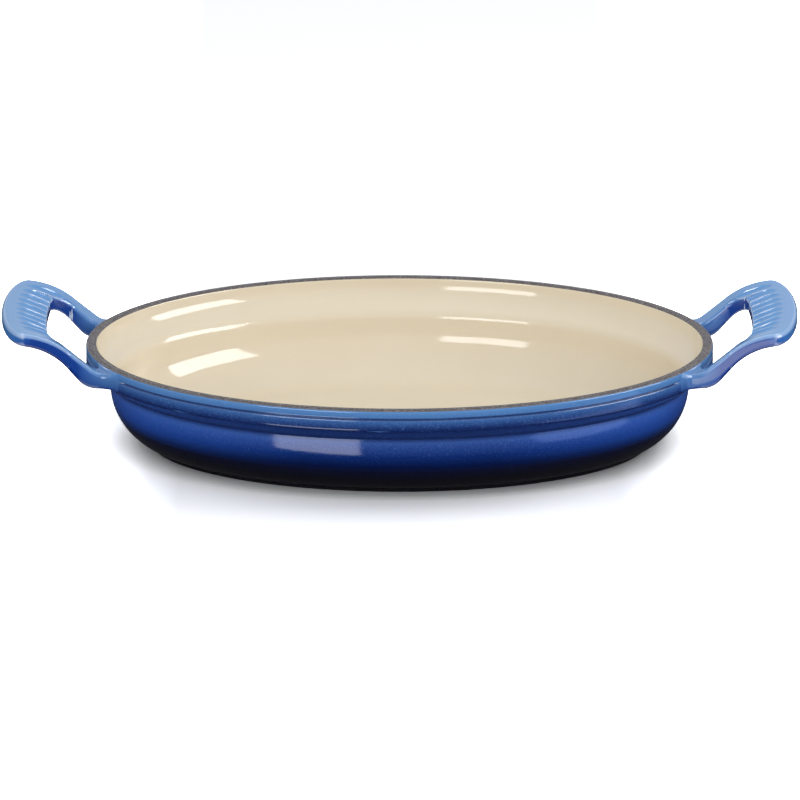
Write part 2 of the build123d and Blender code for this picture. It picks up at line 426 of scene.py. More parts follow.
# %% [markdown]
# A flute is the trace of a round bar laid across the grip. The bar starts level with the top
# near the nose and runs deepest at the finger hole. Where the bars meet, thin ridges stay.

# %% Finger flutes


def nose_reach(row):
    """How far out the handle reaches at a distance from its middle line."""
    return nose_start + nose_length * sqrt(max(0, 1 - (row / half_handle) ** 2))


def flute_bar(number):
    """Row, centre of bend of one flute's bed, and the ends of its run."""
    row = (number - (flute_count - 1) / 2) * flute_pitch
    last = number in (0, flute_count - 1)
    end = Vector((nose_reach(row) - flute_border, row))
    shift = row**2 / (2 * contour_radius)
    mouth = Vector((hole_end - shift - (last_flute_setback if last else 0), row))
    end_z = top_height(end)
    mouth_z = top_height(mouth) - (0 if last else flute_mouth_depth)
    chord = hypot(end.x - mouth.x, end_z - mouth_z)
    rise = sqrt(flute_bed_radius**2 - chord**2 / 4) / chord
    centre_x = (end.x + mouth.x) / 2 + (end_z - mouth_z) * rise
    centre_z = (end_z + mouth_z) / 2 - (end.x - mouth.x) * rise
    return row, centre_x, centre_z


flute_bars = [flute_bar(number) for number in range(flute_count)]
ridge_softness = 0.06 * mm


def fluted_height(spot):
    """Height of the top with the flutes cut in."""
    top = top_height(spot)
    number = round(spot.y / flute_pitch + (flute_count - 1) / 2)
    number = min(max(number, 0), flute_count - 1)
    row, centre_x, centre_z = flute_bars[number]
    off = abs(spot.y - row)
    along = flute_bed_radius**2 - (spot.x - centre_x) ** 2
    if along <= 0:
        return top
    bed = centre_z + sqrt(along) + off**2 / (2 * flute_radius)
    gap = top - bed
    return top - (gap + sqrt(gap**2 + ridge_softness**2)) / 2


# %% [markdown]
# The bar is followed from one root, round the grip, to the other root. At each stop there is
# a pair of points, one on the hole's outline and one on the outside, with their normals.

# %% Stops along a handle
leg_step = 0.6 * mm
turn_step = 0.55 * mm
grip_step = 0.4 * mm
sunk = 1.2 * mm
hole_side_end = hole_end - hole_bow - hole_corner
grip_edge = hole_half - hole_corner


def hole_edge(row):
    """Where the finger hole ends, at a distance from the middle line."""
    return hole_end - hole_bow * (row / grip_edge) ** 2


def nose_walk():
    """Points of the outside from the end of the straight leg to the start of the grip."""
    lead = nose_start - hole_side_end
    path = [Vector((hole_side_end + lead * k / 40, half_handle)) for k in range(40)]
    steps = 400
    last = asin(grip_edge / half_handle)
    for k in range(steps + 1):
        turn = pi / 2 + (last - pi / 2) * k / steps
        path.append(Vector((nose_start + nose_length * cos(turn), half_handle * sin(turn))))
    return path


def even(path, count):
    """The same path as count + 1 points at even distances."""
    marks = [0]
    for a, b in zip(path, path[1:]):
        marks.append(marks[-1] + (b - a).length)
    spots = []
    at = 0
    for k in range(count + 1):
        wanted = marks[-1] * k / count
        while at < len(path) - 2 and marks[at + 1] < wanted:
            at += 1
        share = (wanted - marks[at]) / (marks[at + 1] - marks[at])
        spots.append(path[at].lerp(path[at + 1], share))
    return spots


def outward(path, k):
    """Normal of a path at one of its points, to the left of the way it runs."""
    along = path[min(k + 1, len(path) - 1)] - path[max(k - 1, 0)]
    return Vector((-along.y, along.x)).normalized()


turn_path = nose_walk()
turn_length = sum((b - a).length for a, b in zip(turn_path, turn_path[1:]))
turn_count = ceil(turn_length / turn_step)
outer_turn = even(turn_path, turn_count)
inner_turn = []
for k in range(turn_count + 1):
    angle = pi / 2 * (1 - k / turn_count)
    centre = Vector((hole_side_end, grip_edge))
    inner_turn.append(centre + Vector((cos(angle), sin(angle))) * hole_corner)
print("turn of a handle in mm:", round(turn_length / mm, 1), "in", turn_count, "steps")


# %% [markdown]
# One ring of the bar is a rounded rectangle between those two points. Where the leg nears the
# collar the ring widens along a quarter circle, which is the web that the casting has there,
# and it leans to lie along the collar, so that leg and bowl meet without a gap.

# %% Rings of a handle
edge_turns = 7
top_steps = 34
side_steps = 3
web_rise = 1.8 * mm
web_spread_share = 3.0
lean_length = 18.0 * mm
collar_slope = 0.87


def edge_steps():
    """Pairs of distance from the edge and drop below the face, round one rounded edge."""
    turns = [pi / 2 * k / edge_turns for k in range(edge_turns + 1)]
    return [(edge_round * (1 - sin(t)), edge_round * (1 - cos(t))) for t in turns]


def face_row(inner, outer, inner_out, outer_out):
    """Places across the bar, from the hole's edge to the outside, with the drop of its edges."""
    steps = edge_steps()
    row = [(inner + inner_out * from_edge, drop) for from_edge, drop in reversed(steps)]
    start = inner + inner_out * edge_round
    end = outer - outer_out * edge_round
    row += [(start.lerp(end, k / top_steps), 0) for k in range(1, top_steps)]
    return row + [(outer - outer_out * from_edge, drop) for from_edge, drop in steps]


def bar_ring(inner, outer, inner_out, outer_out):
    """One closed ring of the bar, over the top and back along the underside."""
    row = face_row(inner, outer, inner_out, outer_out)
    top = [Vector((*spot, min(top_height(spot) - drop, fluted_height(spot)))) for spot, drop in row]
    under = [Vector((*spot, under_height(spot) + drop)) for spot, drop in reversed(row)]
    outside = [top[-1].lerp(under[0], k / side_steps) for k in range(1, side_steps)]
    inside = [under[-1].lerp(top[0], k / side_steps) for k in range(1, side_steps)]
    return top + outside + under + inside


def flare(away, radius):
    """How much a web of that radius widens the bar at a distance from the collar."""
    away = min(max(away, 0), radius)
    return radius - sqrt(radius**2 - (radius - away) ** 2)


def collar_reach(row):
    """How far out the collar lies at a distance from the middle line."""
    return half_length * sqrt(1 - (row / half_width) ** 2)


def leg_ring(along):
    """A ring of the straight leg, at a distance along it from the collar."""
    away = along * collar_slope
    wide = flare(away, web_radius) + web_spread_share * max(0, -along)
    inner = Vector((0, hole_half - wide))
    outer = Vector((0, half_handle + wide))
    middle = (hole_half + half_handle) / 2
    lean = max(0, 1 - max(along, 0) / lean_length)
    lean = lean * lean * (3 - 2 * lean)
    rise = flare(away, web_rise)
    spots = bar_ring(inner, outer, Vector((0, 1)), Vector((0, 1)))
    base = collar_reach(middle) + along
    placed = []
    for spot in spots:
        reach = base + lean * (collar_reach(spot.y) - collar_reach(middle))
        there = Vector((reach, spot.y))
        top, under = top_height(there), under_height(there)
        share = (spot.z - root_bottom) / (root_top - root_bottom)
        height = under + (top - under) * share
        height += rise * max(0, 2 * share - 1)
        placed.append(Vector((reach, spot.y, height)))
    return placed


leg_length = hole_side_end - collar_reach((hole_half + half_handle) / 2)
leg_count = ceil((leg_length + sunk) / leg_step)
half_rings = [leg_ring(-sunk + (leg_length + sunk) * k / leg_count) for k in range(leg_count)]
for k in range(turn_count + 1):
    sides = outward(inner_turn, k), outward(outer_turn, k)
    half_rings.append(bar_ring(inner_turn[k], outer_turn[k], *sides))
grip_count = ceil(grip_edge / grip_step)
for k in range(1, grip_count + 1):
    row = grip_edge * (1 - k / grip_count)
    inner = Vector((hole_edge(row), row))
    outer = Vector((nose_reach(row), row))
    slope = row / half_handle / half_handle * nose_length / sqrt(1 - (row / half_handle) ** 2)
    half_rings.append(bar_ring(inner, outer, Vector((1, 0)), Vector((1, slope)).normalized()))
print("rings in half a handle:", len(half_rings), "of", len(half_rings[0]), "points")


# %% [markdown]
# The rings are drawn for one leg and half the grip. Their mirror image makes the other half,
# and the whole handle is then copied and mirrored for the other end of the dish.

# %% Right and left handle


def crossed(spots):
    """A ring's mirror image across the long axis of the dish."""
    return [Vector((spot.x, -spot.y, spot.z)) for spot in spots]


all_rings = half_rings + [crossed(spots) for spots in reversed(half_rings[:-1])]
handle_right = start_ring("blue_handle_right", all_rings[0])
bpy.ops.mesh.edge_face_add()
for spots in all_rings[1:]:
    bpy.ops.mesh.extrude_region_move()
    place_selected(handle_right, spots)
bpy.ops.mesh.select_all(action="SELECT")
bpy.ops.mesh.normals_make_consistent(inside=False)
bpy.ops.object.mode_set(mode="OBJECT")

handle_left = handle_right.copy()
handle_left.data = handle_right.data.copy()
handle_left.name = "blue_handle_left"
bpy.context.collection.objects.link(handle_left)
edit(handle_left)
bpy.ops.mesh.select_all(action="SELECT")
bpy.ops.transform.mirror(
    constraint_axis=(True, False, False), orient_type="GLOBAL", center_override=(0, 0, 0)
)
bpy.ops.mesh.normals_make_consistent(inside=False)
bpy.ops.object.mode_set(mode="OBJECT")
finish_piece(handle_right, "blue_enamel", "handle_enamel_right")
finish_piece(handle_left, "blue_enamel", "handle_enamel_left")

# %% [markdown]
# ## Finishes
# Every coat is glass over iron. What differs is colour, how the colour was sprayed, and how
# even the glass lies. Fine speckle and a slow unevenness come from two node groups.

# %% Helpers for materials


def srgb(red, green, blue):
    """A colour given in display values from 0 to 255, as linear light."""
    values = (red / 255, green / 255, blue / 255)
    return tuple(((v + 0.055) / 1.055) ** 2.4 if v > 0.04045 else v / 12.92 for v in values) + (1,)


def put(tree, kind, **values):
    """Adds a node and sets its input sockets by name."""
    node = tree.nodes.new(kind)
    for key, value in values.items():
        node.inputs[key.replace("_", " ")].default_value = value
    return node


def ramp(tree, stops, source):
    """A colour ramp over (position, colour) stops, fed by a socket."""
    node = tree.nodes.new("ShaderNodeValToRGB")
    band = node.color_ramp
    while len(band.elements) < len(stops):
        band.elements.new(0.5)
    for element, (position, colour) in zip(band.elements, stops):
        element.position = position
        element.color = colour
    tree.links.new(source, node.inputs["Fac"])
    return node.outputs["Color"]


def mixed(tree, share, first, second, blend="MIX"):
    """Mixes two colours, each a socket or a fixed colour, by a share."""
    node = tree.nodes.new("ShaderNodeMix")
    node.data_type = "RGBA"
    node.blend_type = blend
    for socket, value in ((node.inputs[0], share), (node.inputs[6], first), (node.inputs[7], second)):
        if isinstance(value, bpy.types.NodeSocket):
            tree.links.new(value, socket)
        else:
            socket.default_value = value
    return node.outputs[2]


def sums(tree, operation, first, second, clamp=False):
    """One sum of two values, each a socket or a number."""
    node = tree.nodes.new("ShaderNodeMath")
    node.operation = operation
    node.use_clamp = clamp
    for socket, value in zip(node.inputs, (first, second)):
        if isinstance(value, bpy.types.NodeSocket):
            tree.links.new(value, socket)
        else:
            socket.default_value = value
    return node.outputs[0]


def scaled(tree, value, gain, offset):
    """A value times a gain, plus an offset."""
    result = sums(tree, "MULTIPLY_ADD", value, gain)
    result.node.inputs[2].default_value = offset
    return result


def object_space(tree):
    """Position on the piece, in metres."""
    return tree.nodes.new("ShaderNodeTexCoord").outputs["Object"]


def object_axes(tree):
    """Position on the piece, as its X, Y and Z."""
    axes = tree.nodes.new("ShaderNodeSeparateXYZ")
    tree.links.new(object_space(tree), axes.inputs[0])
    return axes


def past_oval(tree, half_x, half_y):
    """How far out a place lies past an oval, as a share of its size. On the oval it is 0."""
    oval = tree.nodes.new("ShaderNodeMapping")
    oval.inputs["Scale"].default_value = (1 / half_x, 1 / half_y, 0)
    tree.links.new(object_space(tree), oval.inputs["Vector"])
    reach = tree.nodes.new("ShaderNodeVectorMath")
    reach.operation = "LENGTH"
    tree.links.new(oval.outputs["Vector"], reach.inputs[0])
    return sums(tree, "SUBTRACT", reach.outputs["Value"], 1.0)


# %% [markdown]
# Speckle first. Enamel is ground glass that melts on the iron, so its colour is grainy at a
# fraction of a millimetre, and its surface is never quite flat. A group gives both: a mask
# for the grain and a slow height for the unevenness.

# %% Speckle and unevenness groups


def new_group(name, inputs, outputs):
    """An empty shader node group with float sockets."""
    group = bpy.data.node_groups.new(name, "ShaderNodeTree")
    for label, value in inputs:
        socket = group.interface.new_socket(label, in_out="INPUT", socket_type="NodeSocketFloat")
        socket.default_value = value
    for label in outputs:
        group.interface.new_socket(label, in_out="OUTPUT", socket_type="NodeSocketFloat")
    return group, group.nodes.new("NodeGroupInput"), group.nodes.new("NodeGroupOutput")


grain_group, grain_in, grain_out = new_group(
    "enamel_grain", [("Grain per metre", 1400.0), ("Waves per metre", 60.0)], ["Grain", "Cloud", "Waves"]
)
spot = object_space(grain_group)
noises = (
    ("Grain", "Grain per metre", 2.0),
    ("Cloud", "Waves per metre", 3.0),
    ("Waves", "Waves per metre", 1.0),
)
for label, scale, detail in noises:
    noise = put(grain_group, "ShaderNodeTexNoise", Detail=detail, Roughness=0.55)
    grain_group.links.new(spot, noise.inputs["Vector"])
    grain_group.links.new(grain_in.outputs[scale], noise.inputs["Scale"])
    grain_group.links.new(noise.outputs["Fac"], grain_out.inputs[label])

edge_group, edge_in, edge_out = new_group("edge_wear_and_glint", [("Threshold", 0.52), ("Spread", 0.06)], ["Edge"])
shape = edge_group.nodes.new("ShaderNodeNewGeometry")
above = sums(edge_group, "SUBTRACT", shape.outputs["Pointiness"], edge_in.outputs["Threshold"])
share = sums(edge_group, "DIVIDE", above, edge_in.outputs["Spread"], clamp=True)
edge_group.links.new(share, edge_out.inputs["Edge"])
print("groups:", [group.name for group in (grain_group, edge_group)])


def use_group(tree, group, **values):
    """Places a group in a material with its own values."""
    node = tree.nodes.new("ShaderNodeGroup")
    node.node_tree = group
    for key, value in values.items():
        node.inputs[key.replace("_", " ")].default_value = value
    return node


def wear_and_glint_edges(tree, colour, edge_colour, share, threshold, spread):
    """A colour with another one mixed in where the surface has sharp edges."""
    edge = use_group(tree, edge_group, Threshold=threshold, Spread=spread)
    edge_share = sums(tree, "MULTIPLY", edge.outputs["Edge"], share)
    return mixed(tree, edge_share, colour, edge_colour)


def new_material(name, roughness, specular):
    """A material with its shader set up, its tree and its shader node."""
    material = bpy.data.materials.new(name)
    material.use_nodes = True
    shader = material.node_tree.nodes["Principled BSDF"]
    shader.inputs["Roughness"].default_value = roughness
    shader.inputs["Specular IOR Level"].default_value = specular
    return material, material.node_tree, shader


def add_bump(tree, shader, height, distance):
    """Bump from a height socket into the shader's normal."""
    bump = put(tree, "ShaderNodeBump", Strength=1.0, Distance=distance)
    tree.links.new(height, bump.inputs["Height"])
    tree.links.new(bump.outputs["Normal"], shader.inputs["Normal"])


def dress(piece, material):
    """Puts a material on a piece, in place of any it has."""
    piece.data.materials.clear()
    piece.data.materials.append(material)


# %% [markdown]
# ## Blue of the bowl
# The second blue is a spray from above, so the collar is light and the wall fades through navy
# to near black. The dark cove under the collar is painted shade, and the wall's fade is partly
# the real spray and partly painted light and shade. Height above the table gives the fade. A
# little grain shifts that height, which gives the fade the look of a spray. Towards the ends of
# the dish the wall gets a painted sheen of lighter blue.

# %% Blue of the bowl
blue_bowl, tree, shader = new_material("graded_blue_enamel", 0.16, 0.5)
grain = use_group(tree, grain_group, Grain_per_metre=1300.0, Waves_per_metre=45.0)
height = object_axes(tree)
shifted = scaled(tree, grain.outputs["Grain"], 3.2 * mm, -1.6 * mm)
shifted = sums(tree, "ADD", height.outputs["Z"], shifted)
level = sums(tree, "DIVIDE", shifted, rim_height, clamp=True)
# Painted shade: the dark stops from 0.66 to 0.79 lie on the cove under the collar. The light stop at 0.61
# and the fade below it are partly the real spray and partly painted light and shade.
fade = ramp(tree, [
    (0.16, srgb(14, 13, 20)),
    (0.28, srgb(13, 16, 40)),
    (0.36, srgb(3, 21, 68)),
    (0.46, srgb(8, 42, 110)),
    (0.56, srgb(40, 72, 144)),
    (0.61, srgb(54, 88, 160)),
    (0.66, srgb(13, 30, 80)),
    (0.79, srgb(13, 32, 84)),
    (0.82, srgb(20, 44, 100)),
    (0.86, srgb(44, 78, 138)),
    (0.90, srgb(62, 104, 164)),
    (1.00, srgb(92, 142, 198)),
], level)
from_middle = sums(tree, "DIVIDE", sums(tree, "ABSOLUTE", height.outputs["X"], 0.0), half_length)
# Painted sheen: towards the ends of the dish a lighter blue is added on the wall.
towards_ends = ramp(tree, [(0.30, (0, 0, 0, 1)), (0.85, (1, 1, 1, 1))], from_middle)
on_wall = ramp(tree, [
    (0.30, (0, 0, 0, 1)),
    (0.44, (1, 1, 1, 1)),
    (0.58, (1, 1, 1, 1)),
    (0.66, (0, 0, 0, 1)),
], level)
painted_end_sheen = (0.012, 0.045, 0.20, 1)
fade = mixed(tree, sums(tree, "MULTIPLY", towards_ends, on_wall), fade, painted_end_sheen, "ADD")
# Painted shade: the groove between the two beads is darkened, fading out towards the ends of the dish.
painted_groove_shade = ramp(tree, [
    (0.900, (1, 1, 1, 1)),
    (0.912, (0.30, 0.32, 0.46, 1)),
    (0.924, (0.30, 0.32, 0.46, 1)),
    (0.936, (1, 1, 1, 1)),
], sums(tree, "DIVIDE", height.outputs["Z"], rim_height, clamp=True))
groove_shade_share = ramp(tree, [(0.90, (1, 1, 1, 1)), (0.95, (0, 0, 0, 1))], from_middle)
fade = mixed(tree, groove_shade_share, fade, painted_groove_shade, "MULTIPLY")
# Light flecks: partly the real speckle of the glaze and partly painted sparkle, as they show only on the
# upper part of the blue.
fleck_and_sparkle = ramp(tree, [(0.56, (0, 0, 0, 1)), (0.74, (1, 1, 1, 1))], grain.outputs["Grain"])
lit = ramp(tree, [(0.38, (0, 0, 0, 1)), (0.58, (1, 1, 1, 1))], level)
fleck_and_sparkle = sums(tree, "MULTIPLY", sums(tree, "MULTIPLY", fleck_and_sparkle, lit), 0.20)
fade = mixed(tree, fleck_and_sparkle, fade, srgb(120, 150, 214))
light_edge = wear_and_glint_edges(tree, fade, srgb(96, 152, 212), share=0.35, threshold=0.53, spread=0.07)
cloud = sums(tree, "MULTIPLY", grain.outputs["Cloud"], 0.10)
clouded = mixed(tree, cloud, light_edge, srgb(40, 60, 120), "MULTIPLY")
tree.links.new(clouded, shader.inputs["Base Color"])
gloss = scaled(tree, grain.outputs["Grain"], 0.10, 0.07)
tree.links.new(gloss, shader.inputs["Roughness"])
add_bump(tree, shader, grain.outputs["Grain"], 0.02 * mm)
dress(bowl_outside, blue_bowl)

# %% [markdown]
# ## Blue of the handles
# The same two blues, but the handle turns towards and away from the spray. The upward part of
# the surface normal picks between them, so tops are light and undersides deep, partly from the
# spray and partly as painted light and shade. The outer end is lifted by a painted sheen. Near
# the bowl the blue turns into the collar's own, with its painted shade. Thin edges and flute
# crests are pale, partly as wear and partly as a painted highlight.

# %% Blue of the handles
blue_handle, tree, shader = new_material("sprayed_blue_enamel", 0.12, 0.5)
grain = use_group(tree, grain_group, Grain_per_metre=1300.0, Waves_per_metre=45.0)
facing = tree.nodes.new("ShaderNodeSeparateXYZ")
tree.links.new(tree.nodes.new("ShaderNodeNewGeometry").outputs["Normal"], facing.inputs[0])
up = scaled(tree, facing.outputs["Z"], 0.5, 0.5)
jitter = scaled(tree, grain.outputs["Grain"], 0.16, -0.08)
up = sums(tree, "ADD", up, jitter)
place = object_axes(tree)
# Painted sheen: from 185 mm out the colour is lifted towards the light blue, over 14 mm.
tip_sheen_start = 185 * mm
tip_sheen_length = 14 * mm
painted_tip_sheen = sums(tree, "SUBTRACT", sums(tree, "ABSOLUTE", place.outputs["X"], 0.0), tip_sheen_start)
painted_tip_sheen = sums(tree, "DIVIDE", painted_tip_sheen, tip_sheen_length, clamp=True)
up = sums(tree, "ADD", up, sums(tree, "MULTIPLY", painted_tip_sheen, 0.22), clamp=True)
# Painted light and shade: tops get the light blue and undersides the deep blue by which way they face,
# partly the real spray and partly painted light and shade.
spray_and_facing_shading = ramp(tree, [
    (0.00, srgb(8, 26, 92)),
    (0.30, srgb(14, 42, 122)),
    (0.52, srgb(26, 66, 148)),
    (0.66, srgb(58, 112, 184)),
    (0.85, srgb(84, 140, 200)),
    (1.00, srgb(92, 148, 206)),
], up)
past_collar = past_oval(tree, half_length, half_width)
near_collar = ramp(tree, [(0.02, (1, 1, 1, 1)), (0.10, (0, 0, 0, 1))], past_collar)
# Near the collar the handle takes the collar's blue by height, dark low down like the cove's painted shade.
collar_blue = ramp(tree, [
    (0.80, srgb(20, 46, 112)),
    (0.84, srgb(52, 88, 150)),
    (1.00, srgb(92, 142, 198)),
], sums(tree, "DIVIDE", place.outputs["Z"], rim_height, clamp=True))
spray_and_facing_shading = mixed(tree, near_collar, spray_and_facing_shading, collar_blue)
# Painted highlight: the flute crests and thin edges are mixed towards near white, partly wear of the glaze
# and partly a painted highlight.
light_edge = wear_and_glint_edges(tree, spray_and_facing_shading, srgb(214, 226, 244), share=0.8, threshold=0.512, spread=0.025)
tree.links.new(light_edge, shader.inputs["Base Color"])
gloss = scaled(tree, grain.outputs["Grain"], 0.08, 0.06)
tree.links.new(gloss, shader.inputs["Roughness"])
add_bump(tree, shader, grain.outputs["Cloud"], 0.05 * mm)
for piece in (handle_right, handle_left):
    dress(piece, blue_handle)

# %% [markdown]
# ## Sand coloured enamel
# A smooth pale glaze. It is slightly warmer in slow clouds, and its surface has the faint
# waves of poured glass, which bend the reflections of the cards.

# %% Sand coloured enamel
sand, tree, shader = new_material("sand_enamel_gloss", 0.10, 0.5)
grain = use_group(tree, grain_group, Grain_per_metre=900.0, Waves_per_metre=28.0)
cloud = sums(tree, "MULTIPLY", grain.outputs["Cloud"], 0.6)
tone = mixed(tree, cloud, srgb(231, 220, 198), srgb(225, 211, 185))
flecks = mixed(tree, sums(tree, "MULTIPLY", grain.outputs["Grain"], 0.10), tone, srgb(204, 190, 164))
tree.links.new(flecks, shader.inputs["Base Color"])
gloss = scaled(tree, grain.outputs["Grain"], 0.06, 0.05)
tree.links.new(gloss, shader.inputs["Roughness"])
add_bump(tree, shader, grain.outputs["Waves"], 0.25 * mm)
dress(bowl_inside, sand)

# %% [markdown]
# ## Dark ground coat
# The bare ground coat is rougher than the glossy colours. Along the crown of the rim band it is
# speckled grey, partly where the kiln left it thin and partly as a painted reflection of the
# bright surround.

# %% Dark ground coat
dark, tree, shader = new_material("dark_ground_enamel", 0.42, 0.4)
grain = use_group(tree, grain_group, Grain_per_metre=1500.0, Waves_per_metre=120.0)
speckled = ramp(tree, [
    (0.34, srgb(34, 30, 33)),
    (0.52, srgb(84, 78, 80)),
    (0.70, srgb(150, 146, 146)),
], grain.outputs["Grain"])
height = object_axes(tree)
crown = sums(tree, "SUBTRACT", height.outputs["Z"], rim_height - crown_drop)
crown = sums(tree, "DIVIDE", crown, crown_drop, clamp=True)
# Painted reflection: the crown is speckled grey, partly thin glaze and partly a painted reflection of the
# bright surround; the sides stay dark.
crown_speckle_and_reflection = ramp(tree, [(0.55, (0, 0, 0, 1)), (0.95, (1, 1, 1, 1))], crown)
tone = mixed(tree, crown_speckle_and_reflection, srgb(24, 21, 24), speckled)
worn = wear_and_glint_edges(tree, tone, srgb(150, 146, 144), share=0.4, threshold=0.52, spread=0.08)
tree.links.new(worn, shader.inputs["Base Color"])
sheen = scaled(tree, crown, 0.40, 0.03)
tree.links.new(sheen, shader.inputs["Specular IOR Level"])
gloss = scaled(tree, grain.outputs["Cloud"], 0.25, 0.28)
tree.links.new(gloss, shader.inputs["Roughness"])
add_bump(tree, shader, grain.outputs["Grain"], 0.06 * mm)
dress(rim_band, dark)

foot_dark, tree, shader = new_material("dark_foot_enamel", 0.38, 0.35)
grain = use_group(tree, grain_group, Grain_per_metre=1100.0, Waves_per_metre=80.0)
tone = ramp(tree, [
    (0.35, srgb(12, 11, 15)),
    (0.60, srgb(20, 18, 23)),
    (0.80, srgb(46, 43, 48)),
], grain.outputs["Grain"])
worn = wear_and_glint_edges(tree, tone, srgb(84, 80, 80), share=0.3, threshold=0.53, spread=0.08)
tree.links.new(worn, shader.inputs["Base Color"])
gloss = scaled(tree, grain.outputs["Cloud"], 0.25, 0.25)
tree.links.new(gloss, shader.inputs["Roughness"])
add_bump(tree, shader, grain.outputs["Grain"], 0.05 * mm)
dress(dark_foot, foot_dark)

# %% [markdown]
# ## Cast iron
# The iron itself is hidden, but it is there: the frame's own solids carry it. They get the
# grainy dark grey of sand-cast iron, lighter where edges were ground.

# %% Cast iron
iron, tree, shader = new_material("sand_cast_iron", 0.55, 0.5)
shader.inputs["Metallic"].default_value = 0.9
grain = use_group(tree, grain_group, Grain_per_metre=700.0, Waves_per_metre=90.0)
tone = ramp(tree, [
    (0.30, srgb(52, 52, 54)),
    (0.55, srgb(78, 77, 78)),
    (0.75, srgb(104, 102, 100)),
], grain.outputs["Grain"])
ground = wear_and_glint_edges(tree, tone, srgb(150, 150, 150), share=0.5, threshold=0.53, spread=0.08)
tree.links.new(ground, shader.inputs["Base Color"])
gloss = scaled(tree, grain.outputs["Cloud"], 0.3, 0.42)
tree.links.new(gloss, shader.inputs["Roughness"])
add_bump(tree, shader, grain.outputs["Grain"], 0.15 * mm)
for node_name in ("iron_bowl", "iron_handle_right", "iron_handle_left"):
    dress(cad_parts[node_name], iron)
print("materials:", [material.name for material in bpy.data.materials if material.users])

# %% [markdown]
# ## Stage
# A white floor, which keeps the soft shadow under the dish. To the camera it has painted light
# past the ends of the dish, which lifts the shadow there, and a painted shadow close to the
# foot. To every other ray it is plain white, so the light on the dish stays moderate.

# %% Floor
floor_radius = 40.0
foot_length = half_length - foot_inset
foot_breadth = half_width - foot_inset
bpy.ops.object.select_all(action="DESELECT")
bpy.ops.mesh.primitive_circle_add(vertices=64, radius=floor_radius, fill_type="NGON", location=(0, 0, 0))
floor = bpy.context.object
floor.name = "studio_floor"
white_floor, tree, shader = new_material("studio_white", 0.9, 0.0)
rays = tree.nodes.new("ShaderNodeLightPath")
# Painted shadow: to the camera the floor is darkened in a band just outside the foot.
painted_contact_shadow = ramp(tree, [
    (0.00, (0.50, 0.50, 0.50, 1)),
    (0.07, (0.62, 0.62, 0.62, 1)),
    (0.18, (1, 1, 1, 1)),
], past_oval(tree, foot_length, foot_breadth))
place = object_axes(tree)
past_ends = sums(tree, "DIVIDE", sums(tree, "ABSOLUTE", place.outputs["X"], 0.0), half_length)
# Painted light: to the camera the floor is darker along the dish's length and fully bright past its ends.
painted_end_light = ramp(tree, [
    (0.70, (0.45, 0.45, 0.45, 1)),
    (0.79, (0.60, 0.60, 0.60, 1)),
    (0.86, (0.85, 0.85, 0.85, 1)),
    (0.93, (1, 1, 1, 1)),
], past_ends)
bright = mixed(tree, 1.0, (2.95, 2.97, 3.00, 1), painted_end_light, "MULTIPLY")
bright = mixed(tree, 1.0, bright, painted_contact_shadow, "MULTIPLY")
seen_white = mixed(tree, rays.outputs["Is Camera Ray"], (0.80, 0.81, 0.82, 1), bright)
tree.links.new(seen_white, shader.inputs["Base Color"])
dress(floor, white_floor)

# %% [markdown]
# The surround is white to the camera. To the glaze it is white above the table and dark below
# it, as over a studio table, and to everything else it is a plain even light.

# %% Surround
world = bpy.context.scene.world or bpy.data.worlds.new("studio")
bpy.context.scene.world = world
world.use_nodes = True
tree = world.node_tree
tree.nodes.clear()
rays = tree.nodes.new("ShaderNodeLightPath")
direction = tree.nodes.new("ShaderNodeSeparateXYZ")
tree.links.new(tree.nodes.new("ShaderNodeTexCoord").outputs["Generated"], direction.inputs[0])
horizon = ramp(tree, [(0.0, (0.03, 0.03, 0.035, 1)), (0.12, (0.75, 0.76, 0.78, 1))], direction.outputs["Z"])
even_light = put(tree, "ShaderNodeBackground", Color=(0.97, 0.98, 1.0, 1), Strength=0.62)
mirrored = put(tree, "ShaderNodeBackground", Strength=1.0)
tree.links.new(horizon, mirrored.inputs["Color"])
backdrop = put(tree, "ShaderNodeBackground", Color=(1, 1, 1, 1), Strength=1.0)
glossy_or_even = tree.nodes.new("ShaderNodeMixShader")
tree.links.new(rays.outputs["Is Glossy Ray"], glossy_or_even.inputs[0])
tree.links.new(even_light.outputs[0], glossy_or_even.inputs[1])
tree.links.new(mirrored.outputs[0], glossy_or_even.inputs[2])
blend = tree.nodes.new("ShaderNodeMixShader")
surface = tree.nodes.new("ShaderNodeOutputWorld")
seen = sums(tree, "MAXIMUM", rays.outputs["Is Camera Ray"], rays.outputs["Is Transmission Ray"])
tree.links.new(seen, blend.inputs[0])
tree.links.new(glossy_or_even.outputs[0], blend.inputs[1])
tree.links.new(backdrop.outputs[0], blend.inputs[2])
tree.links.new(blend.outputs[0], surface.inputs[0])

# %% [markdown]
# Three lamps shape the dish softly, the strongest at the front and the next at the right.
# The glints on the handles come from lamps that only their reflections see, and the streaks
# in the glaze from bright cards of the same kind, so that both can be as bright and as narrow
# as a studio's softboxes without flooding the dish.

# %% Lamps


def softbox(name, place, target, width, height, power):
    """An area lamp at a place, aimed at a target."""
    lamp = bpy.data.lights.new(name, "AREA")
    lamp.shape = "RECTANGLE"
    lamp.size = width
    lamp.size_y = height
    lamp.energy = power
    holder = bpy.data.objects.new(name, lamp)
    bpy.context.collection.objects.link(holder)
    holder.location = place
    holder.rotation_euler = (Vector(target) - Vector(place)).to_track_quat("-Z", "Y").to_euler()
    holder.visible_camera = False
    holder.visible_glossy = False
    return holder


softbox("right_lamp", (0.75, 0.05, 0.70), (0.10, 0, 0.03), 0.60, 0.50, 2.6)
softbox("left_lamp", (-0.75, 0.05, 0.70), (-0.10, 0, 0.03), 0.60, 0.50, 1.2)
softbox("front_lamp", (0.10, -1.10, 0.45), (0, 0, 0.03), 0.90, 0.50, 4.5)

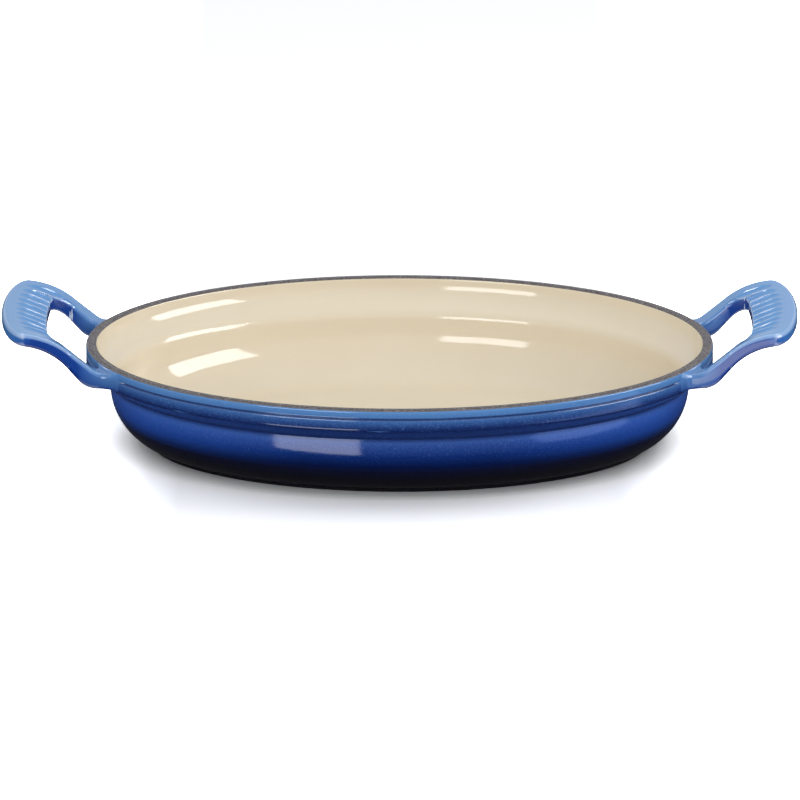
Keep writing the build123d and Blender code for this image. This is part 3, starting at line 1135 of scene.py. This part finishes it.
# %% [markdown]
# A glint is a small lamp that only the reflections in the handles see. One long strip hangs
# overhead, one sheen stands far behind, and the others sit where each handle's corner or
# side mirrors them towards the camera.

# %% Glints on the handles
handle_set = bpy.data.collections.new("handle_set")
handle_set.objects.link(handle_right)
handle_set.objects.link(handle_left)


def glint(name, place, target, width, height, power):
    """A lamp that only shows as a reflection, and only in the handles."""
    holder = softbox(name, place, target, width, height, power)
    holder.visible_glossy = True
    holder.visible_diffuse = False
    holder.light_linking.receiver_collection = handle_set


glint("overhead_strip", (0, 0.22, 0.62), (0, 0, 0.06), 0.80, 0.07, 3.4)
glint("back_sheen", (0, 1.30, 0.50), (0, 0, 0.06), 1.60, 0.60, 0.4)
glint("right_glint", (0.75, -0.22, 0.62), (-0.15, 0, 0.06), 0.30, 0.22, 4.0)
glint("left_glint", (-0.80, 0.00, 0.70), (-0.15, 0, 0.06), 0.22, 0.16, 2.4)
glint("right_side_glint", (0.19, -0.19, 0.015), (0.18, -0.05, 0.055), 0.16, 0.05, 0.09)
glint("right_side_sheen", (1.00, -0.25, 0.15), (0.20, 0, 0.05), 0.50, 0.50, 2.0)

# %% [markdown]
# The cards stand for the softboxes and the bright paper that the glaze mirrors. Two stand in
# front and show as streaks in the bowl. Two lie on the table and show low on the blue wall.

# %% Cards for reflections
card_distance = 1.5


def glow_material(name, strength, colour):
    """A plain glow, which isn't sampled as a lamp."""
    glow = bpy.data.materials.new(name)
    glow.use_nodes = True
    glow.node_tree.nodes.clear()
    emission = put(glow.node_tree, "ShaderNodeEmission", Color=(*colour, 1), Strength=strength)
    output = glow.node_tree.nodes.new("ShaderNodeOutputMaterial")
    glow.node_tree.links.new(emission.outputs[0], output.inputs["Surface"])
    glow.cycles.emission_sampling = "NONE"
    return glow


def mirror_card(name, place, strength, colour):
    """A glowing plane that only reflections see."""
    bpy.ops.object.select_all(action="DESELECT")
    bpy.ops.mesh.primitive_plane_add(size=1, location=place)
    plane = bpy.context.object
    plane.name = name
    dress(plane, glow_material(name, strength, colour))
    for ray in ("camera", "diffuse", "transmission", "volume_scatter", "shadow"):
        setattr(plane, "visible_" + ray, False)
    return plane


def card(name, turn, rise, wide, tall, strength):
    """A bright card seen from the dish at a turn from +X and a rise, with its size in degrees."""
    turn, rise = radians(turn), radians(rise)
    away = Vector((cos(rise) * cos(turn), cos(rise) * sin(turn), sin(rise)))
    plane = mirror_card(name, away * card_distance, strength, (1, 1, 1))
    width, height = (2 * card_distance * tan(radians(size / 2)) for size in (wide, tall))
    plane.scale = (width, height, 1)
    plane.rotation_euler = (-away).to_track_quat("Z", "Y").to_euler()


card("right_front_card", -19, 24, 40, 26, 10)
card("left_front_card", -115, 10, 26, 26, 8)


def table_card(name, corners, strength, colour):
    """A bright card that lies on the table, from its corners in mm."""
    plane = mirror_card(name, (0, 0, 0), strength, colour)
    for vertex, (x, y) in zip(plane.data.vertices, corners):
        vertex.co = Vector((x, y, 0.5)) * mm


table_card("left_table_card", [(-122, -168), (-37, -184), (-88, -123), (-26, -130)], 4.2, (0.90, 0.92, 1))
table_card("right_table_card", [(120, -190), (300, -120), (110, -125), (190, -70)], 2.2, (0.40, 0.55, 1))
floor.visible_glossy = False

# %% [markdown]
# ## Camera
# A long lens far away, some 18 degrees above the table, as a catalogue picture is taken. It is
# aimed a little under the rim's centre, so that the dish sits where the picture has it.

# %% Camera
camera_rise = radians(18.2)
camera_distance = 6.0
sensor = 36.0
pixels_wide = 800
pixels_per_metre = 1960.0
rim_above_centre = 57.75 / pixels_per_metre
left_of_centre = 0.4 / pixels_per_metre
look = Vector((0, cos(camera_rise), -sin(camera_rise)))
above_look = Vector((0, sin(camera_rise), cos(camera_rise)))
aim = Vector((left_of_centre, 0, rim_height)) - above_look * rim_above_centre
camera_data = bpy.data.cameras.new("catalogue_camera")
camera_data.sensor_width = sensor
camera_data.lens = sensor * pixels_per_metre * camera_distance / pixels_wide
camera_data.clip_end = 200.0
camera = bpy.data.objects.new("catalogue_camera", camera_data)
bpy.context.collection.objects.link(camera)
camera.location = aim - look * camera_distance
camera.rotation_euler = look.to_track_quat("-Z", "Y").to_euler()
bpy.context.scene.camera = camera
bpy.context.scene.view_settings.view_transform = "Standard"
print("lens in mm:", round(camera_data.lens, 1))
